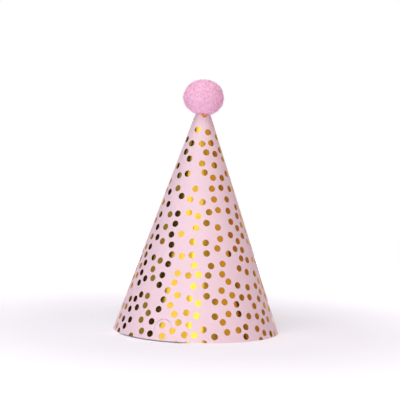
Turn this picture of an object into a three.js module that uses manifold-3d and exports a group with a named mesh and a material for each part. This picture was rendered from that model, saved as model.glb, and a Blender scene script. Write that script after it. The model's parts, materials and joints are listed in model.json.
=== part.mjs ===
// New year party hat: a cone rolled from one card blank, with a pompom glued on its tip.
//
// Frame: millimetres, +Z up, origin at the centre of the rim, in the plane that the hat stands on.
// The front is -Y. The glued seam is at the back (+Y) and the two die-cut cord tongues are at -X and +X.
// An azimuth is measured round the hat from the front, growing towards +X.

import * as THREE from 'three';
import { mergeVertices } from 'three/addons/utils/BufferGeometryUtils.js';
import Module from 'manifold-3d';

// ---- Driving dimensions: cone ----
const baseRadius = 55;            // outside of the rim
const apexHeight = 158;           // height at which the outer face would meet the axis
const tipRadius = 3;              // outside radius of the small cut-off tip
const sheetThickness = 0.4;       // card

// ---- Driving dimensions: seam ----
const seamAzimuth = 180;          // middle of the overlap, degrees
const seamOverlap = 14;           // turn on which the two ends lie one on the other, degrees
const seamRamp = 24;              // turn on which the inner end sinks below the outer one, degrees
const tapeWidth = 5;              // double-sided tape in the overlap
const tapeThickness = 0.15;
const tapeClearance = 0.05;       // tape to card, on each face
const tapeEdgeMargin = 0.9;       // bare card on both sides of the tape
const tapeRimDistance = 8;        // lower end of the tape, up the slope from the rim

// ---- Driving dimensions: cord tongues ----
const tongueAzimuths = { left: -90, right: 90 };
const tongueWidth = 12;           // between the middles of the two legs of the slit
const tongueLegs = 3;             // straight part of the slit below its arch
const tongueRootHeight = 5;       // crease line, up the slope from the rim
const slitWidth = 0.3;            // gap that the die leaves round the tongue
const creaseClearance = 0.35;     // free card edge on each side of the crease line

// ---- Driving dimensions: hot-melt glue at the tip ----
const glueClearance = 0.15;       // glue to card
const glueCapOverhang = 0.6;      // cap beyond the outside of the tip
const glueCapHeight = 2.4;
const gluePlugDepth = 3.5;        // plug inside the cone, below the tip

// ---- Driving dimensions: pompom ----
const pompomWidth = 28;
const pompomHeight = 24.6;
const pompomSeatDepth = 6.8;      // how far the cone's tip goes into the pompom
const pompomClearance = 0.3;      // pile to card and pile to glue
const coreRadius = 1.8;           // bundle of fibres inside the binding
const bindingThickness = 1;       // thickness of the binding's thread ring
const bindingClearance = 0.15;    // ring to pile, all round

// ---- Facets ----
const coneStep = 3.5;             // largest turn of one facet of the cone, degrees
const latheSegments = 40;
const arcSegments = 12;

// ---- Cone relations ----
const halfAngle = Math.atan2(baseRadius, apexHeight);
const sinHalf = Math.sin(halfAngle);
const cosHalf = Math.cos(halfAngle);
const tipSlant = tipRadius / sinHalf;
const tipHeight = apexHeight - tipSlant * cosHalf;
const tapeGap = tapeThickness + 2 * tapeClearance;
const lapDepth = sheetThickness + tapeGap;
const seamWall = lapDepth + sheetThickness;   // both ends of the card and the tape between them

const wasm = await Module();
wasm.setup();

// ---- Points on the cone ----

// Unit vectors at an azimuth: along the rim, up the slope, and out of the outer face.
function coneAxes(azimuth) {
  const turn = THREE.MathUtils.degToRad(azimuth);
  const outX = Math.sin(turn);
  const outY = -Math.cos(turn);
  return {
    along: new THREE.Vector3(-outY, outX, 0),
    upslope: new THREE.Vector3(-outX * sinHalf, -outY * sinHalf, cosHalf),
    normal: new THREE.Vector3(outX * cosHalf, outY * cosHalf, sinHalf),
  };
}

// A point given by its azimuth, its distance from the virtual apex along the outer face,
// and its offset outwards from that face.
function onCone(azimuth, slant, offset) {
  const axes = coneAxes(azimuth);
  const point = new THREE.Vector3(0, 0, apexHeight);
  point.addScaledVector(axes.upslope, -slant);
  point.addScaledVector(axes.normal, offset);
  return point;
}

// Slant at which a layer with this offset meets the plane of the rim.
function rimSlant(offset) {
  return (apexHeight + offset * sinHalf) / cosHalf;
}

// Radius of a layer with this offset, at a height.
function coneRadius(height, offset) {
  return ((apexHeight - height) * sinHalf + offset) / cosHalf;
}

// ---- Solids ----

function closedGeometry(geometry) {
  const bare = geometry.index ? geometry.toNonIndexed() : geometry;
  bare.deleteAttribute('normal');
  bare.deleteAttribute('uv');
  return mergeVertices(bare, 1e-5);
}

function toManifold(geometry) {
  const closed = closedGeometry(geometry);
  return new wasm.Manifold(new wasm.Mesh({
    numProp: 3,
    vertProperties: Float32Array.from(closed.attributes.position.array),
    triVerts: Uint32Array.from(closed.index.array),
  }));
}

function fromManifold(solid) {
  const mesh = solid.getMesh();
  const geometry = new THREE.BufferGeometry();
  geometry.setAttribute('position', new THREE.BufferAttribute(mesh.vertProperties, 3));
  geometry.setIndex(new THREE.BufferAttribute(mesh.triVerts, 1));
  geometry.computeVertexNormals();
  return geometry;
}

// A flat strip of card, bent by a rule: across and up run from 0 to 1 over the strip,
// and layer is 0 on its inner face and 1 on its outer face.
function bentStrip(columns, rows, bend) {
  const strip = new THREE.BoxGeometry(1, 1, 1, columns, rows, 1);
  const position = strip.attributes.position;
  for (let i = 0; i < position.count; i += 1) {
    const point = bend(position.getX(i) + 0.5, position.getY(i) + 0.5, position.getZ(i) + 0.5);
    position.setXYZ(i, point.x, point.y, point.z);
  }
  return strip;
}

// A solid turned round the Z axis from a profile of (radius, height) points.
function turned(profile) {
  return new THREE.LatheGeometry(profile, latheSegments).rotateX(Math.PI / 2);
}

// ---- Cone sheet ----

// The whole card before the tongues are cut. Its inner end sinks below its outer end at the seam.
function rolledSheet() {
  const wrap = 360 + seamOverlap;
  const innerEnd = seamAzimuth - 360 - seamOverlap / 2;
  return bentStrip(Math.ceil(wrap / coneStep), 1, (across, up, layer) => {
    const turn = across * wrap;
    const sunk = 1 - THREE.MathUtils.smoothstep(turn, seamOverlap, seamOverlap + seamRamp);
    const offset = -lapDepth * sunk - sheetThickness * (1 - layer);
    return onCone(innerEnd + turn, up > 0.5 ? tipSlant : rimSlant(offset), offset);
  });
}

// ---- Cord tongues ----

// The frame of a tongue: its origin on the crease line, in the middle of the card.
function tongueFrame(azimuth) {
  const axes = coneAxes(azimuth);
  const crease = onCone(azimuth, rimSlant(0) - tongueRootHeight, -sheetThickness / 2);
  const frame = new THREE.Matrix4().makeBasis(axes.along, axes.upslope, axes.normal);
  return frame.setPosition(crease);
}

// A cutter through the card: an arch on straight legs, standing on a line at a height above the crease.
// It reaches as far to each side of the card as the tongue is half wide.
function archCutter(halfWidth, bottom) {
  const reach = tongueWidth / 2;
  const arch = new THREE.Shape();
  arch.moveTo(-halfWidth, bottom);
  arch.lineTo(halfWidth, bottom);
  arch.lineTo(halfWidth, tongueLegs);
  arch.absarc(0, tongueLegs, halfWidth, 0, Math.PI, false);
  arch.lineTo(-halfWidth, bottom);
  const options = { depth: 2 * reach, bevelEnabled: false, curveSegments: arcSegments };
  return new THREE.ExtrudeGeometry(arch, options).translate(0, 0, -reach);
}

function makeSheetAndTongues() {
  const rolled = toManifold(rolledSheet());
  const window = archCutter((tongueWidth + slitWidth) / 2, -creaseClearance);
  const blade = archCutter((tongueWidth - slitWidth) / 2, creaseClearance);
  const tongues = {};
  let sheet = rolled;
  for (const [side, azimuth] of Object.entries(tongueAzimuths)) {
    const frame = tongueFrame(azimuth);
    sheet = sheet.subtract(toManifold(window.clone().applyMatrix4(frame)));
    const tongue = fromManifold(rolled.intersect(toManifold(blade.clone().applyMatrix4(frame))));
    tongues[side] = { frame, geometry: tongue.applyMatrix4(frame.clone().invert()) };
  }
  return { sheet: fromManifold(sheet), tongues };
}

// ---- Seam tape ----

// A strip of even width along the middle of the overlap, up to where the overlap gets too narrow for it.
function seamTape() {
  const rows = 10;
  const columns = 2;
  const overlapTurn = THREE.MathUtils.degToRad(seamOverlap);
  const topSlant = (tapeWidth + 2 * tapeEdgeMargin) / (overlapTurn * sinHalf);
  const bottomSlant = rimSlant(0) - tapeRimDistance;
  return bentStrip(columns, rows, (across, up, layer) => {
    const slant = THREE.MathUtils.lerp(bottomSlant, topSlant, up);
    const sideways = (across - 0.5) * tapeWidth;
    const turn = THREE.MathUtils.radToDeg(sideways / (slant * sinHalf));
    const offset = -sheetThickness - tapeClearance - tapeThickness * (1 - layer);
    return onCone(seamAzimuth + turn, slant, offset);
  });
}

// ---- Glue ----

// A plug inside the tip, a neck through its hole and a domed cap on top of it.
function tipGlue() {
  const capRadius = tipRadius + glueCapOverhang;
  const capBottom = tipHeight + glueClearance;
  const inside = -seamWall - glueClearance * cosHalf;
  const plugBottom = tipHeight - gluePlugDepth;
  const neckRadius = coneRadius(tipHeight, inside);
  const dome = new THREE.EllipseCurve(0, capBottom, capRadius, glueCapHeight, 0, Math.PI / 2);
  return turned([
    new THREE.Vector2(0, plugBottom),
    new THREE.Vector2(coneRadius(plugBottom, inside), plugBottom),
    new THREE.Vector2(neckRadius, tipHeight),
    new THREE.Vector2(neckRadius, capBottom),
    ...dome.getPoints(arcSegments / 2).map((point) => new THREE.Vector2(Math.max(point.x, 0), point.y)),
  ]);
}

// ---- Pompom ----

const pompomMiddle = tipHeight - pompomSeatDepth + pompomHeight / 2;
const bindingRingRadius = coreRadius + bindingClearance + bindingThickness / 2;

function pompomBinding() {
  const section = new THREE.EllipseCurve(
    bindingRingRadius, pompomMiddle, bindingThickness / 2, bindingThickness / 2, 0, 2 * Math.PI,
  );
  return turned(section.getPoints(arcSegments));
}

// Where the wall of the socket, a cone at this offset, comes out of the lower half of the pile.
function socketMouth(offset) {
  const radius = pompomWidth / 2;
  const half = pompomHeight / 2;
  const slope = sinHalf / cosHalf;
  const middleRadius = coneRadius(pompomMiddle, offset);
  const a = slope * slope / (radius * radius) + 1 / (half * half);
  const b = -2 * slope * middleRadius / (radius * radius);
  const c = middleRadius * middleRadius / (radius * radius) - 1;
  const drop = (-b - Math.sqrt(b * b - 4 * a * c)) / (2 * a);
  return new THREE.Vector2(middleRadius - slope * drop, pompomMiddle + drop);
}

// The pile is an egg of fibres with a socket for the cone's tip, room for the glue's cap,
// and a groove round its core for the binding.
function pompomPile() {
  const radius = pompomWidth / 2;
  const half = pompomHeight / 2;
  const grooveRadius = bindingRingRadius + bindingThickness / 2 + bindingClearance;
  const grooveTop = pompomMiddle + bindingThickness / 2 + bindingClearance;
  const capTop = tipHeight + glueClearance + glueCapHeight + pompomClearance;
  const capRadius = tipRadius + glueCapOverhang + pompomClearance;
  const socketOffset = pompomClearance;
  const capBottom = tipHeight - (capRadius - coneRadius(tipHeight, socketOffset)) * cosHalf / sinHalf;
  const mouth = socketMouth(socketOffset);
  const start = Math.atan2((mouth.y - pompomMiddle) / half, mouth.x / radius);
  const skin = new THREE.EllipseCurve(0, pompomMiddle, radius, half, start, Math.PI / 2);
  return turned([
    new THREE.Vector2(0, capTop),
    new THREE.Vector2(coreRadius, capTop),
    new THREE.Vector2(coreRadius, grooveTop),
    new THREE.Vector2(grooveRadius, grooveTop),
    new THREE.Vector2(grooveRadius, capTop),
    new THREE.Vector2(capRadius, capTop),
    new THREE.Vector2(capRadius, capBottom),
    ...skin.getPoints(2 * arcSegments).map((point) => new THREE.Vector2(Math.max(point.x, 0), point.y)),
  ]);
}

// ---- Assembly ----

function namedMesh(name, geometry, color, roughness) {
  const material = new THREE.MeshStandardMaterial({ color, roughness, metalness: 0 });
  const mesh = new THREE.Mesh(geometry, material);
  mesh.name = name;
  return mesh;
}

const cardPink = 0xf5d6e2;
const pilePink = 0xf9b6d7;
const threadPink = 0xe79fc2;
const glueMilk = 0xece6dc;
const tapeClear = 0xf3efe6;

function makeHat() {
  const hat = new THREE.Group();
  const { sheet, tongues } = makeSheetAndTongues();
  hat.add(namedMesh('cone_sheet', sheet, cardPink, 0.55));
  for (const [side, { frame, geometry }] of Object.entries(tongues)) {
    const crease = new THREE.Group();
    frame.decompose(crease.position, crease.quaternion, crease.scale);
    crease.add(namedMesh(`cord_tongue_${side}`, geometry, cardPink, 0.55));
    hat.add(crease);
  }
  hat.add(namedMesh('seam_tape', seamTape(), tapeClear, 0.35));

  const pompom = new THREE.Group();
  pompom.add(namedMesh('tip_glue', tipGlue(), glueMilk, 0.3));
  pompom.add(namedMesh('pompom_binding', pompomBinding(), threadPink, 0.85));
  pompom.add(namedMesh('pompom_pile', pompomPile(), pilePink, 0.95));
  hat.add(pompom);
  return hat;
}

const hat = makeHat();

export default hat;
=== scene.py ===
"""New year party hat: a cone of pale pink card, hot-stamped with gold dots, with a fluffy pompom on its tip.

The card is rolled from its flat blank by a rule that the card, its foil dots and its cord tongues share.
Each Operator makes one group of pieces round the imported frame, and main() runs them in order.
"""

import json
import math
from functools import partialmethod

import bmesh
import bpy
from bpy.props import FloatProperty, FloatVectorProperty, IntProperty, PointerProperty
from bpy.types import Operator, Panel, PropertyGroup
from mathutils import Matrix, Vector


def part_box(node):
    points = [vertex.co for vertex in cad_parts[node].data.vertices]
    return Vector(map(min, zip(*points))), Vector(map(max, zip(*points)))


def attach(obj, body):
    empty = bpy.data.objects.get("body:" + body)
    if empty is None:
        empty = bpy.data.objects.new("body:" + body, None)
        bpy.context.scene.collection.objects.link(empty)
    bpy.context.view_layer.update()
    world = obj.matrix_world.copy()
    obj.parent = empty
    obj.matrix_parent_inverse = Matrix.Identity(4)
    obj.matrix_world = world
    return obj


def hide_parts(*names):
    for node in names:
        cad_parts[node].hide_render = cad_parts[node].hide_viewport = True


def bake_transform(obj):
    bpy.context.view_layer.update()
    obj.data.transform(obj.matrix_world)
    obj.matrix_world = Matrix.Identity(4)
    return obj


bl_info = {
    "name": "New year party hat",
    "version": (1, 0, 0),
    "blender": (4, 5, 0),
    "location": "View3D > Sidebar > Party hat",
    "description": "Rolls a card party hat, stamps its foil dots and ties its pompom",
    "category": "Object",
}

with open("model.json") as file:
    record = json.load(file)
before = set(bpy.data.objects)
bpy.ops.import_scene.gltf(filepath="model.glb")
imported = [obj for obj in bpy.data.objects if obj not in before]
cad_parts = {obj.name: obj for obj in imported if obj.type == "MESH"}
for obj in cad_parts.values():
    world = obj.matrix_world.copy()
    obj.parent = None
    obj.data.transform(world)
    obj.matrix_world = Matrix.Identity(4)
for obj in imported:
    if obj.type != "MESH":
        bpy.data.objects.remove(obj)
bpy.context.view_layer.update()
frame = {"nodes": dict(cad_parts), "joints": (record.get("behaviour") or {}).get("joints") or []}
CARD_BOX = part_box("cone_sheet")
PILE_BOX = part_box("pompom_pile")
MM = 0.001
BACK_TURN = math.pi


# ---- Sizes and colours that a user would change ----


def length(name, description, default):
    """A length property, in metres."""
    return FloatProperty(
        name=name, description=description, default=default, min=0.0, unit="LENGTH", precision=5
    )


def shift(name, description, default):
    """A length property that may be negative, in metres."""
    return FloatProperty(name=name, description=description, default=default, unit="LENGTH", precision=5)


def angle(name, description, degrees):
    """An angle property, given in degrees and kept in radians."""
    return FloatProperty(name=name, description=description, default=math.radians(degrees), subtype="ANGLE")


def amount(name, description, default):
    """A property that is a plain number."""
    return FloatProperty(name=name, description=description, default=default, min=0.0)


def count(name, description, default, least=0):
    """A property that is a whole number."""
    return IntProperty(name=name, description=description, default=default, min=least)


def colour(name, description, default):
    """A colour property."""
    return FloatVectorProperty(
        name=name, description=description, default=default, size=3, min=0.0, max=1.0, subtype="COLOR"
    )


class HatCardSizes(PropertyGroup):
    """The card cone and its two cord tongues."""

    rim_radius: length("Rim radius", "Outside radius of the rim", 55 * MM)
    apex_height: length("Apex height", "Height at which the outer face would meet the axis", 158 * MM)
    tip_height: length("Tip height", "Top edge of the card", CARD_BOX[1].z)
    thickness: length("Card thickness", "Thickness of the card", 0.4 * MM)
    lap_depth: length("Lap depth", "How far the inner end sinks below the outer end at the seam", 0.65 * MM)
    lap_turn: angle("Lap turn", "Turn on which the two ends lie one on the other", 14)
    ramp_turn: angle("Ramp turn", "Turn on which the inner end sinks", 24)
    roll_dent: length("Rolling dents", "Depth of the soft dents that rolling leaves in the card", 0.14 * MM)
    tongue_width: length("Tongue width", "Width of a cord tongue between the legs of its slit", 12 * MM)
    tongue_legs: length("Tongue legs", "Straight part of the slit below its arch", 3 * MM)
    slit_width: length("Slit width", "Gap that the die leaves round a tongue", 0.2 * MM)
    tongue_press: length("Tongue press", "How far the top of a tongue stands back from the card", 0.4 * MM)
    crease_length: length("Crease length", "Stretch of a tongue that bends when it is lifted", 1.2 * MM)


class HatFoilSizes(PropertyGroup):
    """The hot-stamped gold dots."""

    dot_diameter: length("Dot diameter", "Diameter of a dot", 4.4 * MM)
    spacing: length("Closest spacing", "Least distance between the middles of two dots", 6.2 * MM)
    foil_thickness: length("Foil thickness", "How far the foil stands proud of the card", 0.03 * MM)
    throw_density: amount(
        "Thrown dots", "Dots thrown for each square metre, before close ones are dropped", 150000.0
    )
    shift_across: shift("Print shift across", "Where the print lay under the die, across", 15.9 * MM)
    shift_up: shift("Print shift up", "Where the print lay under the die, up the blank", -30.15 * MM)
    seed: count("Seed", "Which scatter of dots is printed", 51)


class HatPompomSizes(PropertyGroup):
    """The pompom's heart and its cut fibres."""

    height: length("Pompom height", "Height of the trimmed pompom", 24.6 * MM)
    lumps: length("Lumps", "Depth of the shallow lumps in the trimmed outline", 0.45 * MM)
    tuft_depth: length("Tuft depth", "How far the tufts stand out between their hollows", 0.6 * MM)
    fibre_length: length("Fibre length", "Length of a fibre that stands out of the heart", 1.4 * MM)
    fibre_thickness: length("Fibre thickness", "Thickness of a fibre at its root", 0.14 * MM)
    fibres: count("Fibres", "Fibres in each of the pile's pieces", 5500, 100)
    pieces: count("Pile pieces", "Pieces that the pile is divided into", 2, 1)
    tufting: amount("Tufting", "How far neighbouring fibres lean together", 2.0)
    looseness: amount("Looseness", "How far each fibre strays by itself", 0.5)
    seed: count("Seed", "Which scatter of fibres is tied", 3)


class HatColours(PropertyGroup):
    """The hat's colours."""

    card_pink: colour("Card pink", "Printed face of the card", (0.84, 0.63, 0.72))
    card_white: colour("Card white", "Inside and cut edges of the card", (0.90, 0.88, 0.86))
    foil_gold: colour("Foil gold", "Hot-stamped foil", (0.95, 0.60, 0.075))
    pile_pink: colour("Pile pink", "Fibres of the pompom", (1.0, 0.57, 0.775))
    thread_pink: colour("Thread pink", "Thread that ties the pompom", (0.80, 0.36, 0.52))
    glue_milk: colour("Glue milk", "Hot-melt glue", (0.86, 0.82, 0.74))
    tape_film: colour("Tape film", "Double-sided tape", (0.88, 0.84, 0.74))


class HatStageSizes(PropertyGroup):
    """The floor, the lights and the camera."""

    camera_turn: angle("Camera turn", "Azimuth of the camera round the hat, from its front", -66.5)
    camera_rise: angle("Camera rise", "Elevation of the camera above the aim point", 3.76)
    camera_roll: angle("Camera roll", "Tilt of the camera", 1.97)
    camera_distance: length("Camera distance", "Camera to aim point", 1.0)
    aim_height: length("Aim height", "Height of the point in the middle of the view", 86.9 * MM)
    lens: amount("Lens", "Focal length on a 36 mm sensor, in mm", 135.5)
    floor_radius: length("Floor radius", "Radius of the paper floor", 0.5)
    sag_depth: length("Sag depth", "How far the paper sags below one part of the rim", 0.75 * MM)
    sag_turn: angle("Sag turn", "Middle of that part, as a turn from the camera", -35)
    sag_half_turn: angle("Sag half turn", "Turn from its middle to its end", 34)


# ---- Writing node trees ----


class Nodes:
    """Adds nodes to a tree. An input is a value or a socket of another node."""

    def __init__(self, tree):
        self.tree = tree

    def feed(self, node, inputs):
        """Gives a node its inputs: a socket is linked and a value is set."""
        for key, value in inputs.items():
            if isinstance(value, bpy.types.NodeSocket):
                self.tree.links.new(value, node.inputs[key])
            else:
                node.inputs[key].default_value = value

    def add(self, kind, inputs=None, **settings):
        """A node of any kind, placed beside the others."""
        node = self.tree.nodes.new(kind)
        column, row = divmod(len(self.tree.nodes), 4)
        node.location = (200 * column, -160 * row)
        for name, value in settings.items():
            setattr(node, name, value)
        self.feed(node, inputs or {})
        return node

    def math(self, operation, *values):
        """One step of a formula."""
        return self.add("ShaderNodeMath", dict(enumerate(values)), operation=operation).outputs[0]

    # The sum, the difference, the product and the ratio of two numbers.
    plus = partialmethod(math, "ADD")
    minus = partialmethod(math, "SUBTRACT")
    times = partialmethod(math, "MULTIPLY")
    over = partialmethod(math, "DIVIDE")

    def fade(self, value, low, high, to_low=0.0, to_high=1.0):
        """A smooth step from to_low at low to to_high at high."""
        inputs = {0: value, 1: low, 2: high, 3: to_low, 4: to_high}
        return self.add("ShaderNodeMapRange", inputs, interpolation_type="SMOOTHSTEP").outputs[0]

    def combine(self, x, y, z):
        """A vector of three numbers."""
        return self.add("ShaderNodeCombineXYZ", {0: x, 1: y, 2: z}).outputs[0]

    def separate(self, vector):
        """The three numbers of a vector."""
        return self.add("ShaderNodeSeparateXYZ", {0: vector}).outputs

    def vector(self, operation, *values):
        """One step of a formula of vectors."""
        return self.add("ShaderNodeVectorMath", dict(enumerate(values)), operation=operation).outputs[0]

    def scale(self, vector, factor):
        """A vector made longer or shorter."""
        return self.add("ShaderNodeVectorMath", {0: vector, "Scale": factor}, operation="SCALE").outputs[0]

    def length(self, vector):
        """How long a vector is."""
        return self.add("ShaderNodeVectorMath", {0: vector}, operation="LENGTH").outputs["Value"]

    def noise(self, place, scale, detail=2.0, roughness=0.5):
        """Cloudy noise at a place."""
        inputs = {"Vector": place, "Scale": scale, "Detail": detail, "Roughness": roughness}
        return self.add("ShaderNodeTexNoise", inputs).outputs["Fac"]

    def between(self, low, high, seed):
        """A random number for each point."""
        return self.add("FunctionNodeRandomValue", {2: low, 3: high, "Seed": seed}).outputs[1]

    def position(self):
        """Where a point of the geometry is."""
        return self.add("GeometryNodeInputPosition").outputs[0]

    def moved(self, geometry, **move):
        """Geometry with its points moved to a Position or by an Offset."""
        return self.add("GeometryNodeSetPosition", {"Geometry": geometry, **move}).outputs[0]

    def without(self, geometry, dropped):
        """Geometry less the points that are dropped."""
        inputs = {"Geometry": geometry, "Selection": dropped}
        return self.add("GeometryNodeDeleteGeometry", inputs).outputs[0]

    def store(self, geometry, name, value, data_type, domain):
        """Geometry with a value kept under a name."""
        inputs = {"Geometry": geometry, "Name": name, "Value": value}
        node = self.add("GeometryNodeStoreNamedAttribute", inputs, data_type=data_type, domain=domain)
        return node.outputs[0]

    def painted(self, geometry, material, faces=True):
        """Geometry with a material on these faces."""
        inputs = {"Geometry": geometry, "Selection": faces, "Material": material}
        return self.add("GeometryNodeSetMaterial", inputs).outputs[0]


def below_peak(nodes, noise, depth, peak=0.62, stretch=4.0):
    """Relief about this deep below an outline, from noise that seldom passes its peak."""
    return nodes.times(nodes.minus(noise, peak), nodes.times(depth, stretch))


def geometry_tree(name, sizes, whole_numbers=()):
    """A geometry node tree with a named input for each size. Returns its Nodes and its inputs by name."""
    tree = bpy.data.node_groups.new(name, "GeometryNodeTree")
    tree.interface.new_socket("Geometry", in_out="OUTPUT", socket_type="NodeSocketGeometry")
    kinds = {**dict.fromkeys(sizes, "NodeSocketFloat"), **dict.fromkeys(whole_numbers, "NodeSocketInt")}
    for size, kind in kinds.items():
        tree.interface.new_socket(size, in_out="INPUT", socket_type=kind)
    group_input = tree.nodes.new("NodeGroupInput")
    sockets = {socket.name: socket for socket in group_input.outputs if socket.name}
    return Nodes(tree), sockets


def finish_tree(nodes, geometry, material, faces=True):
    """Ends a tree: instances become real and these faces get the material."""
    real = nodes.add("GeometryNodeRealizeInstances", {"Geometry": geometry}).outputs[0]
    nodes.add("NodeGroupOutput", {0: nodes.painted(real, material, faces)})


def input_values(settings, sizes):
    """Those settings of a group as input values of a tree, by the names of the tree's inputs."""
    return {size: getattr(settings, size.lower().replace(" ", "_")) for size in sizes}


def add_object(name, data):
    """A new object in the scene."""
    made = bpy.data.objects.new(name, data)
    bpy.context.scene.collection.objects.link(made)
    return made


def plain_mesh(piece):
    """The mesh that a piece's modifiers make."""
    depsgraph = bpy.context.evaluated_depsgraph_get()
    return bpy.data.meshes.new_from_object(piece.evaluated_get(depsgraph))


def run_tree(name, nodes, values):
    """Runs a tree with these input values and returns the result as an object with a plain mesh."""
    holder = add_object(name + "_holder", bpy.data.meshes.new(name + "_holder"))
    modifier = holder.modifiers.new("shape", "NODES")
    modifier.node_group = nodes.tree
    for item in nodes.tree.interface.items_tree:
        if item.in_out == "INPUT":
            modifier[item.identifier] = values[item.name]
    mesh = plain_mesh(holder)
    bpy.data.objects.remove(holder)
    mesh.name = name
    return add_object(name, mesh)


def smooth(piece, degrees=35.0):
    """Shades a piece smooth, with its sharper edges kept."""
    piece.data.shade_smooth()
    piece.data.set_sharp_from_angle(angle=math.radians(degrees))


def cut(piece, cutter, operation):
    """Cuts a piece with a cutter: DIFFERENCE keeps what is outside it, INTERSECT what is inside."""
    modifier = piece.modifiers.new("cut", "BOOLEAN")
    modifier.operation = operation
    modifier.solver = "EXACT"
    modifier.object = cutter
    modifier.material_mode = "TRANSFER"
    mesh = plain_mesh(piece)
    piece.modifiers.remove(modifier)
    piece.data = mesh


# ---- Materials ----


def new_material(name):
    """A material with a Principled shader. Returns it, its Nodes, its shader and the place on the object."""
    material = bpy.data.materials.new(name)
    material.use_nodes = True
    nodes = Nodes(material.node_tree)
    place = nodes.add("ShaderNodeTexCoord").outputs["Object"]
    return material, nodes, material.node_tree.nodes["Principled BSDF"], place


def spread(nodes, value, low=0.0, high=1.0):
    """Stretches noise, most of which lies in the middle of its own range, over another."""
    noise_low, noise_high = 0.3, 0.7
    inputs = {0: value, 1: noise_low, 2: noise_high, 3: low, 4: high}
    return nodes.add("ShaderNodeMapRange", inputs).outputs[0]


def tint(nodes, factor, one, other):
    """A colour between two."""
    mix = nodes.add("ShaderNodeMix", {0: factor}, data_type="RGBA")
    mix.inputs[6].default_value = (*one, 1.0)
    mix.inputs[7].default_value = (*other, 1.0)
    return mix.outputs[2]


def bump(nodes, height, depth, strength=1.0):
    """A normal that tilts with a height."""
    inputs = {"Height": height, "Distance": depth, "Strength": strength}
    return nodes.add("ShaderNodeBump", inputs).outputs[0]


def shade(base, factor):
    """A colour made darker or lighter."""
    return tuple(min(1.0, channel * factor) for channel in base)


def grained(name, base, patch_scale, grain_scale, grain_depth, rough, tone_depth):
    """A plain surface: soft patches of tone, and a fine grain that gives its bump and its roughness."""
    material, nodes, shader, place = new_material(name)
    patches = spread(nodes, nodes.noise(place, patch_scale, 4.0))
    grain = nodes.noise(place, grain_scale, 3.0, 0.65)
    nodes.feed(shader, {
        "Base Color": tint(nodes, patches, shade(base, 1.0 - tone_depth), shade(base, 1.0 + tone_depth / 2)),
        "Roughness": spread(nodes, grain, rough[0], rough[1]),
        "Normal": bump(nodes, grain, grain_depth),
    })
    return material


def printed_pink_face(colours):
    """Coated card with a satin pink print: faint cloudy tone, fibres that telegraph through the coating."""
    material, nodes, shader, place = new_material("printed_pink_face")
    cloud_scale, ripple_scale, fibre_scale = 38.0, 95.0, 900.0
    ripple_share = 6.0
    clouds = spread(nodes, nodes.noise(place, cloud_scale, 3.0))
    ripple = nodes.noise(place, ripple_scale, 2.0)
    fibres = nodes.noise(place, fibre_scale, 4.0, 0.6)
    relief = nodes.plus(nodes.times(ripple, ripple_share), fibres)
    pink = colours.card_pink
    nodes.feed(shader, {
        "Base Color": tint(nodes, clouds, shade(pink, 0.975), shade(pink, 1.015)),
        "Roughness": spread(nodes, fibres, 0.40, 0.56),
        "Normal": bump(nodes, relief, 0.012 * MM, 0.8),
        "Specular IOR Level": 0.45,
    })
    return material


def hot_stamped_gold(colours):
    """Metal foil on card: polished, with the card's waves and fibres pressed through it."""
    material, nodes, shader, place = new_material("hot_stamped_gold")
    wave_scale, fibre_scale = 260.0, 1400.0
    wave_share, fibre_share = 3.6, 0.18
    waves = nodes.noise(place, wave_scale, 1.0)
    fibres = nodes.noise(place, fibre_scale, 3.0, 0.6)
    relief = nodes.plus(nodes.times(waves, wave_share), nodes.times(fibres, fibre_share))
    gold = colours.foil_gold
    nodes.feed(shader, {
        "Base Color": tint(nodes, spread(nodes, waves), shade(gold, 0.93), gold),
        "Metallic": 1.0,
        "Roughness": spread(nodes, fibres, 0.11, 0.17),
        "Normal": bump(nodes, relief, 0.012 * MM, 0.7),
    })
    return material


def raw_card(name, colours, patch_scale, grain_scale, grain_depth, rough):
    """Bare white card, as on the inside and on the cut edges."""
    return grained(name, colours.card_white, patch_scale, grain_scale, grain_depth, rough, 0.05)


def acrylic_pile(colours):
    """Soft acrylic fibre: tufts of a paler and a deeper pink, and a faint sheen."""
    material, nodes, shader, place = new_material("acrylic_pile")
    tuft_scale = 800.0
    tufts = spread(nodes, nodes.noise(place, tuft_scale))
    pink = colours.pile_pink
    nodes.feed(shader, {
        "Base Color": tint(nodes, tufts, shade(pink, 0.86), shade(pink, 1.12)),
        "Roughness": 0.85,
        "Specular IOR Level": 0.2,
        "Sheen Weight": 0.05,
        "Sheen Roughness": 0.5,
    })
    return material


# ---- The rule that rolls the blank ----

CONE_SIZES = (
    "Rim Radius", "Apex Height", "Tip Height", "Thickness", "Lap Depth", "Lap Turn", "Ramp Turn", "Roll Dent",
)


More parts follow.
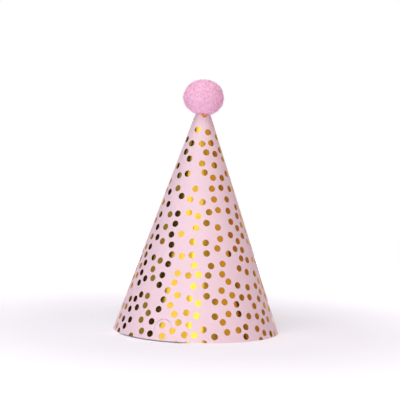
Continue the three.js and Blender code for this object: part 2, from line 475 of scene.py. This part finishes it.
class Cone:
    """Node formulas of the rolled card. A turn is measured round the hat from its front, a slant from the
    virtual apex down the outer face, and an offset outwards from that face."""

    def __init__(self, nodes, sizes):
        self.nodes = nodes
        self.sizes = sizes
        radius, height = sizes["Rim Radius"], sizes["Apex Height"]
        slope = nodes.math(
            "SQRT", nodes.plus(nodes.math("POWER", radius, 2.0), nodes.math("POWER", height, 2.0))
        )
        self.sine = nodes.over(radius, slope)
        self.cosine = nodes.over(height, slope)
        self.end_turn = nodes.plus(BACK_TURN, nodes.times(sizes["Lap Turn"], 0.5))
        self.tip_slant = nodes.over(nodes.minus(height, sizes["Tip Height"]), self.cosine)

    def turn(self, across):
        """The turn at a share of the way from the card's inner end to its outer end."""
        whole = self.nodes.times(self.end_turn, 2.0)
        return self.nodes.minus(self.nodes.times(across, whole), self.end_turn)

    def slant(self, up, rim):
        """The slant at a share of the way from the rim's slant to the tip's."""
        return self.nodes.plus(rim, self.nodes.times(up, self.nodes.minus(self.tip_slant, rim)))

    def offset(self, turn, height):
        """Offset of a layer that lies this high on the card: its inner end sinks at the lap, and the soft
        dents of rolling fade before the lap."""
        nodes, sizes = self.nodes, self.sizes
        dent_scale, fade_start, fade_end = 1.9, 2.2, 2.6
        from_end = nodes.plus(turn, self.end_turn)
        ramp_end = nodes.plus(sizes["Lap Turn"], sizes["Ramp Turn"])
        sunk = nodes.fade(from_end, sizes["Lap Turn"], ramp_end, 1.0, 0.0)
        inputs = {"W": turn, "Scale": dent_scale, "Detail": 1.0}
        waves = nodes.add("ShaderNodeTexNoise", inputs, noise_dimensions="1D").outputs["Fac"]
        clear = nodes.fade(nodes.math("ABSOLUTE", turn), fade_start, fade_end, 1.0, 0.0)
        dented = nodes.times(below_peak(nodes, waves, clear), sizes["Roll Dent"])
        return nodes.minus(nodes.plus(height, dented), nodes.times(sunk, sizes["Lap Depth"]))

    def rim_slant(self, offset):
        """Slant at which a layer meets the plane of the rim."""
        rise = self.nodes.times(offset, self.sine)
        return self.nodes.over(self.nodes.plus(self.sizes["Apex Height"], rise), self.cosine)

    def point(self, turn, slant, offset):
        """The point on the cone."""
        nodes = self.nodes
        radius = nodes.plus(nodes.times(slant, self.sine), nodes.times(offset, self.cosine))
        drop = nodes.minus(nodes.times(slant, self.cosine), nodes.times(offset, self.sine))
        x = nodes.times(radius, nodes.math("SINE", turn))
        y = nodes.times(radius, nodes.times(nodes.math("COSINE", turn), -1.0))
        return nodes.combine(x, y, nodes.minus(self.sizes["Apex Height"], drop))

    def flat(self, turn, slant, height=0.0):
        """The same point on the flat blank, whose apex is its origin."""
        nodes = self.nodes
        flat_turn = nodes.times(turn, self.sine)
        x = nodes.times(slant, nodes.math("SINE", flat_turn))
        y = nodes.times(slant, nodes.times(nodes.math("COSINE", flat_turn), -1.0))
        return nodes.combine(x, y, height)

    def unroll(self, place):
        """Turn and slant of a place on the flat blank."""
        nodes = self.nodes
        x, y, _ = nodes.separate(place)
        flat_turn = nodes.math("ARCTAN2", x, nodes.times(y, -1.0))
        return nodes.over(flat_turn, self.sine), nodes.length(nodes.combine(x, y, 0.0))


def unit_strip(nodes, columns, rows):
    """A closed strip with its across, up and layer, each from 0 to 1."""
    inputs = {"Size": (1.0, 1.0, 1.0), "Vertices X": columns, "Vertices Y": rows, "Vertices Z": 2}
    strip = nodes.add("GeometryNodeMeshCube", inputs).outputs["Mesh"]
    return strip, nodes.separate(nodes.vector("ADD", nodes.position(), (0.5, 0.5, 0.5)))


# ---- The card ----


def card_tree(materials):
    """The blank as a strip of card, rolled into the cone: printed outside, raw inside and at its edges."""
    nodes, sizes = geometry_tree("rolled_card", CONE_SIZES, ("Columns", "Rows"))
    cone = Cone(nodes, sizes)
    strip, (across, up, layer) = unit_strip(nodes, sizes["Columns"], sizes["Rows"])
    turn = cone.turn(across)
    offset = cone.offset(turn, nodes.times(nodes.minus(layer, 1.0), sizes["Thickness"]))
    slant = cone.slant(up, cone.rim_slant(offset))
    normal = nodes.add("GeometryNodeInputNormal").outputs[0]
    sided = nodes.store(strip, "facing", nodes.separate(normal)[2], "FLOAT", "FACE")
    mapped = nodes.store(sided, "UVMap", cone.flat(turn, slant), "FLOAT2", "CORNER")
    rolled = nodes.moved(mapped, Position=cone.point(turn, slant, offset))
    facing = nodes.add("GeometryNodeInputNamedAttribute", {"Name": "facing"}, data_type="FLOAT").outputs[0]
    edged = nodes.painted(rolled, materials["edge"])
    printed = nodes.painted(edged, materials["print"], nodes.math("GREATER_THAN", facing, 0.5))
    finish_tree(nodes, printed, materials["inside"], nodes.math("LESS_THAN", facing, -0.5))
    return nodes


def crease_frame(card, joint):
    """Placement of a tongue: its origin on the crease, X along it, Y up the slope and Z out of the card."""
    along = Vector(joint["axis"]).normalized()
    out = Vector((along.y, -along.x, 0.0))
    slope = math.atan2(card.rim_radius, card.apex_height)
    upslope = out * -math.sin(slope) + Vector((0.0, 0.0, math.cos(slope)))
    normal = along.cross(upslope)
    axes = Matrix((along, upslope, normal)).transposed().to_4x4()
    return Matrix.Translation(Vector(joint["pos_m"])) @ axes


def tongue_placements(card):
    """The placement of each tongue, by side."""
    return {joint["name"].split("_")[0]: crease_frame(card, joint) for joint in frame["joints"]}


def arch_outline(card, half_width):
    """Outline of an arch on straight legs that stands on the crease."""
    steps = 28
    turns = [math.pi * step / steps for step in range(steps + 1)]
    arch = [(half_width * math.cos(t), card.tongue_legs + half_width * math.sin(t)) for t in turns]
    return [(half_width, 0.0), *arch, (-half_width, 0.0)]


def arch_cutter(name, card, placement, half_width, material):
    """A prism of the arch's outline that reaches through the card."""
    reach = 5 * MM
    mesh = bpy.data.meshes.new(name)
    work = bmesh.new()
    outline = arch_outline(card, half_width)
    floor = work.faces.new([work.verts.new((x, y, -reach)) for x, y in outline])
    grown = bmesh.ops.extrude_face_region(work, geom=[floor])
    top = [item for item in grown["geom"] if isinstance(item, bmesh.types.BMVert)]
    bmesh.ops.translate(work, vec=(0.0, 0.0, 2 * reach), verts=top)
    bmesh.ops.recalc_face_normals(work, faces=work.faces)
    work.transform(placement)
    work.to_mesh(mesh)
    work.free()
    mesh.materials.append(material)
    return add_object(name, mesh)


def score_crease(piece, card, placement):
    """Adds lines across a tongue where it bends."""
    lines = 5
    axis = placement.to_3x3() @ Vector((0.0, 1.0, 0.0))
    work = bmesh.new()
    work.from_mesh(piece.data)
    for line in range(1, lines + 1):
        point = placement @ Vector((0.0, card.crease_length * line / lines, 0.0))
        everything = [*work.verts, *work.edges, *work.faces]
        bmesh.ops.bisect_plane(work, geom=everything, dist=1e-7, plane_co=point, plane_no=axis)
    work.to_mesh(piece.data)
    work.free()


def press_back(piece, card, placement):
    """Bends a tongue back from its crease, so that its top lies a little behind the card."""
    reach = card.tongue_legs + card.tongue_width / 2
    bend_power = 1.5
    inverse = placement.inverted()
    normal = placement.to_3x3() @ Vector((0.0, 0.0, 1.0))
    for vertex in piece.data.vertices:
        share = max(0.0, (inverse @ vertex.co).y / reach)
        vertex.co -= normal * card.tongue_press * share ** bend_power


def cut_tongue(tongue, rest, card, side, placement, material):
    """Trims one piece to a tongue, opens the tongue's window in the rest, and bends the tongue back."""
    half, gap = card.tongue_width / 2, card.slit_width / 2
    window = arch_cutter(side + "_window", card, placement, half + gap, material)
    blade = arch_cutter(side + "_blade", card, placement, half - gap, material)
    cut(tongue, blade, "INTERSECT")
    cut(rest, window, "DIFFERENCE")
    bpy.data.objects.remove(window)
    bpy.data.objects.remove(blade)
    score_crease(tongue, card, placement)
    press_back(tongue, card, placement)
    smooth(tongue)


def hinge_tongue(piece):
    """Bakes a tongue's placement into its mesh."""
    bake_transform(piece)


class HAT_OT_card(Operator):
    """Rolls the card into its cone and cuts its two cord tongues"""

    bl_idname = "party_hat.card"
    bl_label = "Rolled card"

    def execute(self, context):
        card, colours = context.scene.hat_card, context.scene.hat_colours
        materials = {
            "print": printed_pink_face(colours),
            "inside": raw_card("raw_card_inside", colours, 55.0, 1300.0, 0.03 * MM, (0.8, 0.95)),
            "edge": raw_card("cut_card_edge", colours, 160.0, 2600.0, 0.01 * MM, (0.82, 0.95)),
        }
        columns, rows = ((300, 48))
        values = {**input_values(card, CONE_SIZES), "Columns": columns, "Rows": rows}
        rolled = run_tree("rolled_card", card_tree(materials), values)
        for side, placement in tongue_placements(card).items():
            tongue = add_object(side + "_cord_tongue", rolled.data.copy())
            cut_tongue(tongue, rolled, card, side, placement, materials["edge"])
            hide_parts("cord_tongue_" + side)
            hinge_tongue(tongue)
        smooth(rolled)
        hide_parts("cone_sheet")
        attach(rolled, "hat")
        return {"FINISHED"}


# ---- The foil dots ----

PRINT_SIZES = ("Dot Diameter", "Spacing", "Foil Thickness", "Throw Density", "Shift Across", "Shift Up")


def flat_blank(nodes, cone):
    """The blank as a flat closed sector, thick enough to cut the foil."""
    columns, rows, depth = 301, 2, 1 * MM
    strip, (across, up, layer) = unit_strip(nodes, columns, rows)
    turn = cone.turn(across)
    slant = cone.slant(up, cone.rim_slant(cone.offset(turn, 0.0)))
    height = nodes.times(nodes.minus(layer, 0.5), depth)
    return nodes.moved(strip, Position=cone.flat(turn, slant, height))


def stamped(nodes, points, sizes):
    """One thin round of foil on each point, sunk a little into the card's face."""
    sides, rings = 18, 2
    sunk = 0.02 * MM
    inputs = {
        "Vertices": sides, "Side Segments": 1, "Fill Segments": rings,
        "Radius": nodes.times(sizes["Dot Diameter"], 0.5),
        "Depth": nodes.plus(sizes["Foil Thickness"], sunk),
    }
    disc = nodes.add("GeometryNodeMeshCylinder", inputs, fill_type="TRIANGLE_FAN").outputs["Mesh"]
    lift = nodes.times(nodes.minus(sizes["Foil Thickness"], sunk), 0.5)
    inputs = {"Geometry": disc, "Translation": nodes.combine(0.0, 0.0, lift)}
    lifted = nodes.add("GeometryNodeTransform", inputs).outputs[0]
    laid = nodes.add("GeometryNodeInstanceOnPoints", {"Points": points, "Instance": lifted}).outputs[0]
    return nodes.add("GeometryNodeRealizeInstances", {"Geometry": laid}).outputs[0]


def foil_tree(material):
    """Dots scattered on a flat print, cut with the blank, and rolled with it."""
    nodes, sizes = geometry_tree("foil_dots", (*CONE_SIZES, *PRINT_SIZES), ("Seed",))
    cone = Cone(nodes, sizes)
    rim = cone.rim_slant(0.0)
    side = nodes.times(rim, 2.0)
    inputs = {
        "Mesh": nodes.add("GeometryNodeMeshGrid", {"Size X": side, "Size Y": side}).outputs["Mesh"],
        "Distance Min": sizes["Spacing"], "Density Max": sizes["Throw Density"], "Seed": sizes["Seed"],
    }
    thrown = nodes.add("GeometryNodeDistributePointsOnFaces", inputs, distribute_method="POISSON")
    shifted = nodes.combine(sizes["Shift Across"], sizes["Shift Up"], 0.0)
    printed = nodes.moved(thrown.outputs["Points"], Offset=shifted)

    radius = nodes.times(sizes["Dot Diameter"], 0.5)
    turn, slant = cone.unroll(nodes.position())
    end_gap = nodes.minus(cone.end_turn, nodes.math("ABSOLUTE", turn))
    aside = nodes.times(nodes.times(end_gap, cone.sine), slant)
    below = nodes.minus(rim, slant)
    above = nodes.minus(slant, cone.tip_slant)
    inside_by = nodes.math("MINIMUM", aside, nodes.math("MINIMUM", below, above))
    kept = nodes.without(printed, nodes.math("LESS_THAN", inside_by, nodes.times(radius, -1.0)))
    at_edge = nodes.math("LESS_THAN", inside_by, radius)
    parted = nodes.add("GeometryNodeSeparateGeometry", {"Geometry": kept, "Selection": at_edge})
    edge_dots = stamped(nodes, parted.outputs["Selection"], sizes)
    inner_dots = stamped(nodes, parted.outputs["Inverted"], sizes)
    inputs = {"Mesh 2": edge_dots}
    trimmed = nodes.add("GeometryNodeMeshBoolean", inputs, operation="INTERSECT", solver="EXACT")
    nodes.feed(trimmed, {"Mesh 2": flat_blank(nodes, cone)})
    joined = nodes.add("GeometryNodeJoinGeometry", {"Geometry": trimmed.outputs["Mesh"]})
    nodes.feed(joined, {"Geometry": inner_dots})

    height = nodes.separate(nodes.position())[2]
    turn, slant = cone.unroll(nodes.position())
    place = cone.point(turn, slant, cone.offset(turn, height))
    finish_tree(nodes, nodes.moved(joined.outputs[0], Position=place), material)
    return nodes


class HAT_OT_foil(Operator):
    """Stamps the gold dots on the card and cuts those that a slit crosses"""

    bl_idname = "party_hat.foil"
    bl_label = "Foil dots"

    def execute(self, context):
        card, foil = context.scene.hat_card, context.scene.hat_foil
        gold = hot_stamped_gold(context.scene.hat_colours)
        values = {**input_values(card, CONE_SIZES), **input_values(foil, PRINT_SIZES), "Seed": foil.seed}
        dots = run_tree("foil_dots", foil_tree(gold), values)
        # Far enough from the middle of the crease for every dot that a slit can cross.
        reach = 1.4 * card.tongue_width
        for side, placement in tongue_placements(card).items():
            near = split_near(dots, side + "_tongue_foil_dots", placement.translation, reach)
            outer = add_object(side + "_outer_dots", near.data.copy())
            cut_tongue(near, outer, card, side, placement, gold)
            hinge_tongue(near)
            join_into(dots, outer)
        smooth(dots)
        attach(dots, "hat")
        return {"FINISHED"}


def split_near(piece, name, centre, reach):
    """Moves the islands of a mesh that come within reach of a point to a new object."""
    work = bmesh.new()
    work.from_mesh(piece.data)
    near = set()
    waiting = [vertex for vertex in work.verts if (vertex.co - centre).length < reach]
    while waiting:
        vertex = waiting.pop()
        if vertex in near:
            continue
        near.add(vertex)
        waiting.extend(edge.other_vert(vertex) for edge in vertex.link_edges)
    part = work.copy()
    far = [twin for vertex, twin in zip(work.verts, part.verts) if vertex not in near]
    bmesh.ops.delete(part, geom=far, context="VERTS")
    bmesh.ops.delete(work, geom=list(near), context="VERTS")
    work.to_mesh(piece.data)
    work.free()
    mesh = bpy.data.meshes.new(name)
    part.to_mesh(mesh)
    part.free()
    mesh.materials.append(piece.data.materials[0])
    return add_object(name, mesh)


def join_into(piece, other):
    """Adds another object's mesh to a piece and removes that object."""
    work = bmesh.new()
    work.from_mesh(piece.data)
    work.from_mesh(other.data)
    work.to_mesh(piece.data)
    work.free()
    bpy.data.objects.remove(other)


# ---- The pompom ----

TUFT_SIZES = ("Lumps", "Tuft Depth", "Fibre Length", "Fibre Thickness", "Tufting", "Looseness")
PILE_SIZES = (*TUFT_SIZES, "Half Width", "Half Height", "Middle", "Inset", "Density", "Clear Cosine")


def pile_values(pompom, inset, seed):
    """The pompom's sizes as input values of a tree. Its outline is that of the frame's pile."""
    half_width = (PILE_BOX[1].x - PILE_BOX[0].x) / 2
    half_height = pompom.height / 2
    root_radius = half_width - pompom.fibre_length
    # Below the pompom no fibre stands within this radius, where the socket and the tip are.
    mouth = half_width * 0.4
    return {
        **input_values(pompom, TUFT_SIZES), "Inset": inset, "Seed": seed,
        "Half Width": half_width, "Half Height": half_height, "Middle": PILE_BOX[1].z - half_height,
        "Density": pompom.fibres / (4 * math.pi * root_radius * root_radius),
        "Clear Cosine": math.cos(math.atan2(mouth, half_height)),
    }


def lumpy_egg(nodes, sizes):
    """The trimmed outline of the pompom, or one inset from it: an egg with shallow lumps and small tufts."""
    lump_scale, lump_seed, tuft_scale = 1.1, 4.2, 9.5
    ball = nodes.add("GeometryNodeMeshIcoSphere", {"Radius": 1.0, "Subdivisions": 6}).outputs["Mesh"]
    inputs = {"Vector": nodes.position(), "W": lump_seed, "Scale": lump_scale, "Detail": 1.5}
    lumps = nodes.add("ShaderNodeTexNoise", inputs, noise_dimensions="4D").outputs["Fac"]
    tufts = nodes.noise(nodes.position(), tuft_scale, 2.0, 0.6)
    relief = nodes.plus(
        below_peak(nodes, lumps, sizes["Lumps"]),
        below_peak(nodes, tufts, sizes["Tuft Depth"], peak=0.6, stretch=2.5),
    )
    lift = nodes.minus(relief, sizes["Inset"])
    wide = nodes.plus(sizes["Half Width"], lift)
    tall = nodes.plus(sizes["Half Height"], lift)
    x, y, z = nodes.separate(nodes.position())
    height = nodes.plus(nodes.times(z, tall), sizes["Middle"])
    return nodes.moved(ball, Position=nodes.combine(nodes.times(x, wide), nodes.times(y, wide), height))


def heart_tree(material):
    """The packed fibres in the middle of the pompom."""
    nodes, sizes = geometry_tree("pompom_heart", PILE_SIZES, ("Seed",))
    finish_tree(nodes, lumpy_egg(nodes, sizes), material)
    return nodes


def crimped_fibre(nodes, sizes):
    """One tapering fibre that stands on its root, curls to one side and waves to the other."""
    sides, segments, tip_share, full_length = 3, 4, 0.5, 1.1
    curl_share, wave_share, wave_turn = 0.55, 0.09, 7.0
    half = nodes.times(sizes["Fibre Thickness"], 0.5)
    depth = nodes.times(sizes["Fibre Length"], full_length)
    inputs = {
        "Vertices": sides, "Side Segments": segments, "Fill Segments": 1,
        "Radius Top": nodes.times(half, tip_share), "Radius Bottom": half, "Depth": depth,
    }
    fibre = nodes.add("GeometryNodeMeshCone", inputs, fill_type="TRIANGLE_FAN").outputs["Mesh"]
    share = nodes.over(nodes.separate(nodes.position())[2], depth)
    curl = nodes.times(nodes.math("POWER", share, 2.0), curl_share)
    wave = nodes.times(nodes.math("SINE", nodes.times(share, wave_turn)), wave_share)
    curl_by = nodes.times(curl, sizes["Fibre Length"])
    wave_by = nodes.times(wave, sizes["Fibre Length"])
    return nodes.moved(fibre, Offset=nodes.combine(curl_by, wave_by, 0.0))


def fibre_tree(material):
    """Fibres that stand in the pompom's heart and lean together in tufts."""
    nodes, sizes = geometry_tree("pompom_fibres", PILE_SIZES, ("Seed",))
    tuft_scale = 700.0
    stray_seed, spin_seed, stretch_seed = 11, 5, 8
    inputs = {"Mesh": lumpy_egg(nodes, sizes), "Density": sizes["Density"], "Seed": sizes["Seed"]}
    scattered = nodes.add("GeometryNodeDistributePointsOnFaces", inputs, distribute_method="RANDOM")
    centre = nodes.combine(0.0, 0.0, sizes["Middle"])
    out = nodes.vector("NORMALIZE", nodes.vector("SUBTRACT", nodes.position(), centre))
    down = nodes.times(nodes.separate(out)[2], -1.0)
    over_card = nodes.math("GREATER_THAN", down, sizes["Clear Cosine"])
    kept = nodes.without(scattered.outputs["Points"], over_card)

    inputs = {"Vector": nodes.position(), "Scale": tuft_scale, "Detail": 1.0}
    tufts = nodes.add("ShaderNodeTexNoise", inputs).outputs["Color"]
    pull = nodes.scale(nodes.vector("SUBTRACT", tufts, (0.5, 0.5, 0.5)), sizes["Tufting"])
    inputs = {"Min": (-1.0,) * 3, "Max": (1.0,) * 3, "Seed": stray_seed}
    stray = nodes.add("FunctionNodeRandomValue", inputs, data_type="FLOAT_VECTOR").outputs[0]
    stray = nodes.scale(stray, sizes["Looseness"])
    aim = nodes.vector("ADD", nodes.vector("ADD", out, pull), stray)
    turned = nodes.add("FunctionNodeAlignRotationToVector", {"Vector": aim}, axis="Z").outputs[0]
    inputs = {"Axis": (0.0, 0.0, 1.0), "Angle": nodes.between(0.0, math.tau, spin_seed)}
    spin = nodes.add("FunctionNodeAxisAngleToRotation", inputs).outputs[0]
    inputs = {"Rotation": turned, "Rotate By": spin}
    spun = nodes.add("FunctionNodeRotateRotation", inputs, rotation_space="LOCAL").outputs[0]
    inputs = {
        "Points": kept, "Instance": crimped_fibre(nodes, sizes), "Rotation": spun,
        "Scale": nodes.combine(1.0, 1.0, nodes.between(0.82, 1.08, stretch_seed)),
    }
    finish_tree(nodes, nodes.add("GeometryNodeInstanceOnPoints", inputs).outputs[0], material)
    return nodes


def repaint(piece, material):
    """Leaves a piece with this material alone."""
    piece.data.materials.clear()
    piece.data.materials.append(material)


class HAT_OT_pompom(Operator):
    """Ties the pompom: its packed heart, with a socket for the tip, and the cut fibres that stand in it"""

    bl_idname = "party_hat.pompom"
    bl_label = "Pompom"

    def execute(self, context):
        pompom = context.scene.hat_pompom
        pile = acrylic_pile(context.scene.hat_colours)
        # The heart's face lies above the fibres' roots and below their tips.
        inset = 0.38 * pompom.fibre_length
        heart = run_tree("pompom_heart", heart_tree(pile), pile_values(pompom, inset, pompom.seed))
        cut(heart, frame["nodes"]["pompom_pile"], "INTERSECT")
        repaint(heart, pile)
        smooth(heart, 50.0)
        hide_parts("pompom_pile")
        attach(heart, "hat")
        tree = fibre_tree(pile)
        for number in range(pompom.pieces):
            values = pile_values(pompom, pompom.fibre_length, pompom.seed + number)
            fibres = run_tree("pompom_fibres_%d" % (number + 1), tree, values)
            smooth(fibres, 80.0)
            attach(fibres, "hat")
        return {"FINISHED"}


# ---- Tape, glue and thread, whose shapes the frame already holds ----


class HAT_OT_fixings(Operator):
    """Gives the seam tape, the tip's glue and the pompom's thread their finishes"""

    bl_idname = "party_hat.fixings"
    bl_label = "Tape, glue and thread"

    def execute(self, context):
        colours = context.scene.hat_colours
        # Of each node: its finish and colour, the scales of its patches and its grain, and its levels.
        finishes = {
            "seam_tape": ("tape_film", colours.tape_film, 240.0, 1800.0, 0.01 * MM, (0.3, 0.45), 0.04),
            "tip_glue": ("milky_glue", colours.glue_milk, 300.0, 700.0, 0.05 * MM, (0.22, 0.34), 0.05),
            "pompom_binding": ("tie_thread", colours.thread_pink, 900.0, 4200.0, 0.06 * MM, (0.7, 0.9), 0.2),
        }
        for node, finish in finishes.items():
            repaint(frame["nodes"][node], grained(*finish))
        return {"FINISHED"}


# ---- The stage ----


def towards(turn, rise):
    """The direction from the hat towards an azimuth and an elevation."""
    return Vector((math.sin(turn) * math.cos(rise), -math.cos(turn) * math.cos(rise), math.sin(rise)))


def white_paper(stage):
    """White paper with a faint tooth and a painted glow, faint near the hat and strong towards its edge,
    where it fades into the white room.
    """
    material, nodes, shader, place = new_material("white_paper")
    tooth_scale, cloud_scale = 900.0, 3.0
    shade_one, shade_other = (0.865, 0.872, 0.955), (0.88, 0.887, 0.965)
    near, far = 0.12 * stage.floor_radius, 0.9 * stage.floor_radius
    near_glow, far_glow = 0.06, 0.8
    tooth = nodes.noise(place, tooth_scale, 3.0)
    nodes.feed(shader, {
        "Base Color": tint(nodes, nodes.noise(place, cloud_scale), shade_one, shade_other),
        "Roughness": spread(nodes, tooth, 0.8, 0.9),
        "Normal": bump(nodes, tooth, 0.01 * MM),
        # Painted glow: the paper emits light, faintly near the hat and more strongly towards its edge.
        "Emission Color": (1.0, 0.96, 0.96, 1.0),
        "Emission Strength": nodes.fade(nodes.length(place), near, far, near_glow, far_glow),
    })
    return material


def eased(value, low, high):
    """A smooth step from 0 at low to 1 at high."""
    share = min(1.0, max(0.0, (value - low) / (high - low)))
    return share * share * (3.0 - 2.0 * share)


def paper_height(stage, rim_radius, radius, turn):
    """Height of the paper, which sags a little under one part of the rim and bears it elsewhere."""
    # Where the sag's slopes start and end, as shares of its half turn and of the rim's radius.
    side_slope, inner_slope, outer_slope = (0.7, 1.0), (0.4, 0.8), (1.1, 1.6)
    aside = abs(math.remainder(turn - stage.camera_turn - stage.sag_turn, math.tau))
    along = 1.0 - eased(aside / stage.sag_half_turn, *side_slope)
    within = eased(radius / rim_radius, *inner_slope)
    beyond = 1.0 - eased(radius / rim_radius, *outer_slope)
    return -stage.sag_depth * along * within * beyond


def paper_floor(stage, rim_radius):
    """A round sheet of white paper."""
    sides, rings = 180, 120
    mesh = bpy.data.meshes.new("paper_floor")
    work = bmesh.new()
    centre = work.verts.new((0.0, 0.0, 0.0))
    last = None
    for number in range(1, rings + 1):
        radius = stage.floor_radius * (number / rings) ** 2
        ring = []
        for k in range(sides):
            turn = math.tau * k / sides
            height = paper_height(stage, rim_radius, radius, turn)
            ring.append(work.verts.new((radius * math.sin(turn), -radius * math.cos(turn), height)))
        for k in range(sides):
            after = (k + 1) % sides
            if last is None:
                work.faces.new((centre, ring[k], ring[after]))
            else:
                work.faces.new((last[k], ring[k], ring[after], last[after]))
        last = ring
    work.to_mesh(mesh)
    work.free()
    mesh.shade_smooth()
    mesh.materials.append(white_paper(stage))
    floor = add_object("paper_floor", mesh)


# Each soft panel: its middle as seen from the hat, as a turn from the camera and a rise in degrees, the
# half angles that it spans across and up, its radiance and its tone.
PANELS = {
    "key_left": (-44, 33, 11, 30, 1.08, (1.0, 0.99, 0.98)),
    "key_middle": (-22, 33, 10, 30, 0.78, (1.0, 0.93, 0.86)),
    "key_low": (-1, 17, 10, 17, 1.6, (1.0, 1.0, 1.0)),
    "key_top": (-1, 46, 10, 11, 0.60, (1.0, 0.88, 0.78)),
    "key_high": (-18, 64, 24, 10, 2.6, (1.0, 1.0, 1.0)),
    "front_low": (-12, 3, 14, 6, 4.0, (1.0, 0.985, 0.98)),
    "key_spill": (20, 26, 10, 20, 0.34, (1.0, 0.80, 0.62)),
    "left_strip": (-90, 26, 14, 20, 0.27, (1.0, 0.97, 0.94)),
    "right_panel": (52, 28, 17, 17, 0.56, (1.0, 0.68, 0.44)),
    "right_wall": (104, 20, 24, 15, 0.33, (1.0, 0.54, 0.34)),
    "back_wall": (156, 11, 24, 14, 0.54, (1.0, 0.80, 0.68)),
    "back_high": (180, 58, 24, 12, 1.2, (1.0, 0.95, 0.93)),
    "back_left": (-156, 8, 22, 12, 0.44, (1.0, 0.78, 0.66)),
}


def soft_sky(turn):
    """The soft light of a bright ceiling."""
    radiance, breadth, rise = 0.35, math.radians(80), math.radians(86)
    lamp = bpy.data.lights.new("soft_sky", "SUN")
    lamp.energy = math.pi * radiance
    lamp.angle = breadth
    sky = add_object("soft_sky", lamp)
    sky.rotation_euler = towards(turn, rise).to_track_quat("Z", "Y").to_euler()


def soft_panel(name, aim, camera_turn, turn, rise, half_across, half_up, radiance, tone):
    """A soft light: an evenly bright rectangle that faces the hat."""
    distance = 1.8
    lamp = bpy.data.lights.new(name, "AREA")
    lamp.shape = "RECTANGLE"
    lamp.size = 2 * distance * math.tan(math.radians(half_across))
    lamp.size_y = 2 * distance * math.tan(math.radians(half_up))
    lamp.energy = math.pi * lamp.size * lamp.size_y * radiance
    lamp.color = tone
    panel = add_object(name, lamp)
    back = towards(camera_turn + math.radians(turn), math.radians(rise))
    panel.location = aim + back * distance
    panel.rotation_euler = back.to_track_quat("Z", "Y").to_euler()
    panel.visible_camera = False


def white_room():
    """A dim room whose far wall is white to the camera."""
    tone, radiance = (1.0, 0.58, 0.8, 1.0), 0.024
    world = bpy.data.worlds.new("white_room")
    world.use_nodes = True
    world.node_tree.nodes.clear()
    nodes = Nodes(world.node_tree)
    room = nodes.add("ShaderNodeBackground", {"Color": tone, "Strength": radiance})
    wall = nodes.add("ShaderNodeBackground", {"Color": (1.0, 1.0, 1.0, 1.0), "Strength": 1.0})
    seen = nodes.add("ShaderNodeLightPath").outputs["Is Camera Ray"]
    mixed = nodes.add("ShaderNodeMixShader", {0: seen, 1: room.outputs[0], 2: wall.outputs[0]})
    nodes.add("ShaderNodeOutputWorld", {"Surface": mixed.outputs[0]})
    return world


def aimed_camera(stage, aim):
    """The camera, which looks at the aim point."""
    lens = bpy.data.cameras.new("camera")
    lens.lens = stage.lens
    lens.sensor_width = 36.0
    lens.clip_start = 0.01
    camera = add_object("camera", lens)
    back = towards(stage.camera_turn, stage.camera_rise)
    camera.matrix_world = (
        Matrix.Translation(aim + back * stage.camera_distance)
        @ back.to_track_quat("Z", "Y").to_matrix().to_4x4()
        @ Matrix.Rotation(stage.camera_roll, 4, "Z")
    )
    return camera


class HAT_OT_stage(Operator):
    """Lays the paper floor, hangs the soft lights and places the camera"""

    bl_idname = "party_hat.stage"
    bl_label = "Stage"

    def execute(self, context):
        scene, stage = context.scene, context.scene.hat_stage
        aim = Vector((0.0, 0.0, stage.aim_height))
        paper_floor(stage, scene.hat_card.rim_radius)
        for name, panel in PANELS.items():
            soft_panel(name, aim, stage.camera_turn, *panel)
        soft_sky(stage.camera_turn)
        scene.world = white_room()
        scene.view_settings.view_transform = "Standard"
        scene.view_settings.look = "None"
        scene.camera = aimed_camera(stage, aim)
        return {"FINISHED"}


# ---- The add-on ----


class HAT_PT_panel(Panel):
    """Lists the hat's groups of pieces and their sizes"""

    bl_idname = "HAT_PT_panel"
    bl_label = "Party hat"
    bl_space_type = "VIEW_3D"
    bl_region_type = "UI"
    bl_category = "Party hat"

    def draw(self, context):
        for group, sizes in SETTINGS.items():
            box = self.layout.box()
            for name in sizes.__annotations__:
                box.prop(getattr(context.scene, group), name)
        for operator in OPERATORS:
            self.layout.operator(operator.bl_idname)


SETTINGS = {
    "hat_card": HatCardSizes,
    "hat_foil": HatFoilSizes,
    "hat_pompom": HatPompomSizes,
    "hat_colours": HatColours,
    "hat_stage": HatStageSizes,
}
OPERATORS = (HAT_OT_stage, HAT_OT_card, HAT_OT_foil, HAT_OT_pompom, HAT_OT_fixings)
CLASSES = (*SETTINGS.values(), *OPERATORS, HAT_PT_panel)


def register():
    """Makes the add-on's classes known and gives the scene its settings."""
    for made_class in CLASSES:
        bpy.utils.register_class(made_class)
    for name, group in SETTINGS.items():
        setattr(bpy.types.Scene, name, PointerProperty(type=group))


def unregister():
    """Takes the settings and the classes away again."""
    for name in SETTINGS:
        delattr(bpy.types.Scene, name)
    for made_class in reversed(CLASSES):
        bpy.utils.unregister_class(made_class)


def main():
    """Makes the whole hat and its stage."""
    register()
    for operator in OPERATORS:
        group, name = operator.bl_idname.split(".")
        getattr(getattr(bpy.ops, group), name)()


if __name__ == "__main__":
    main()
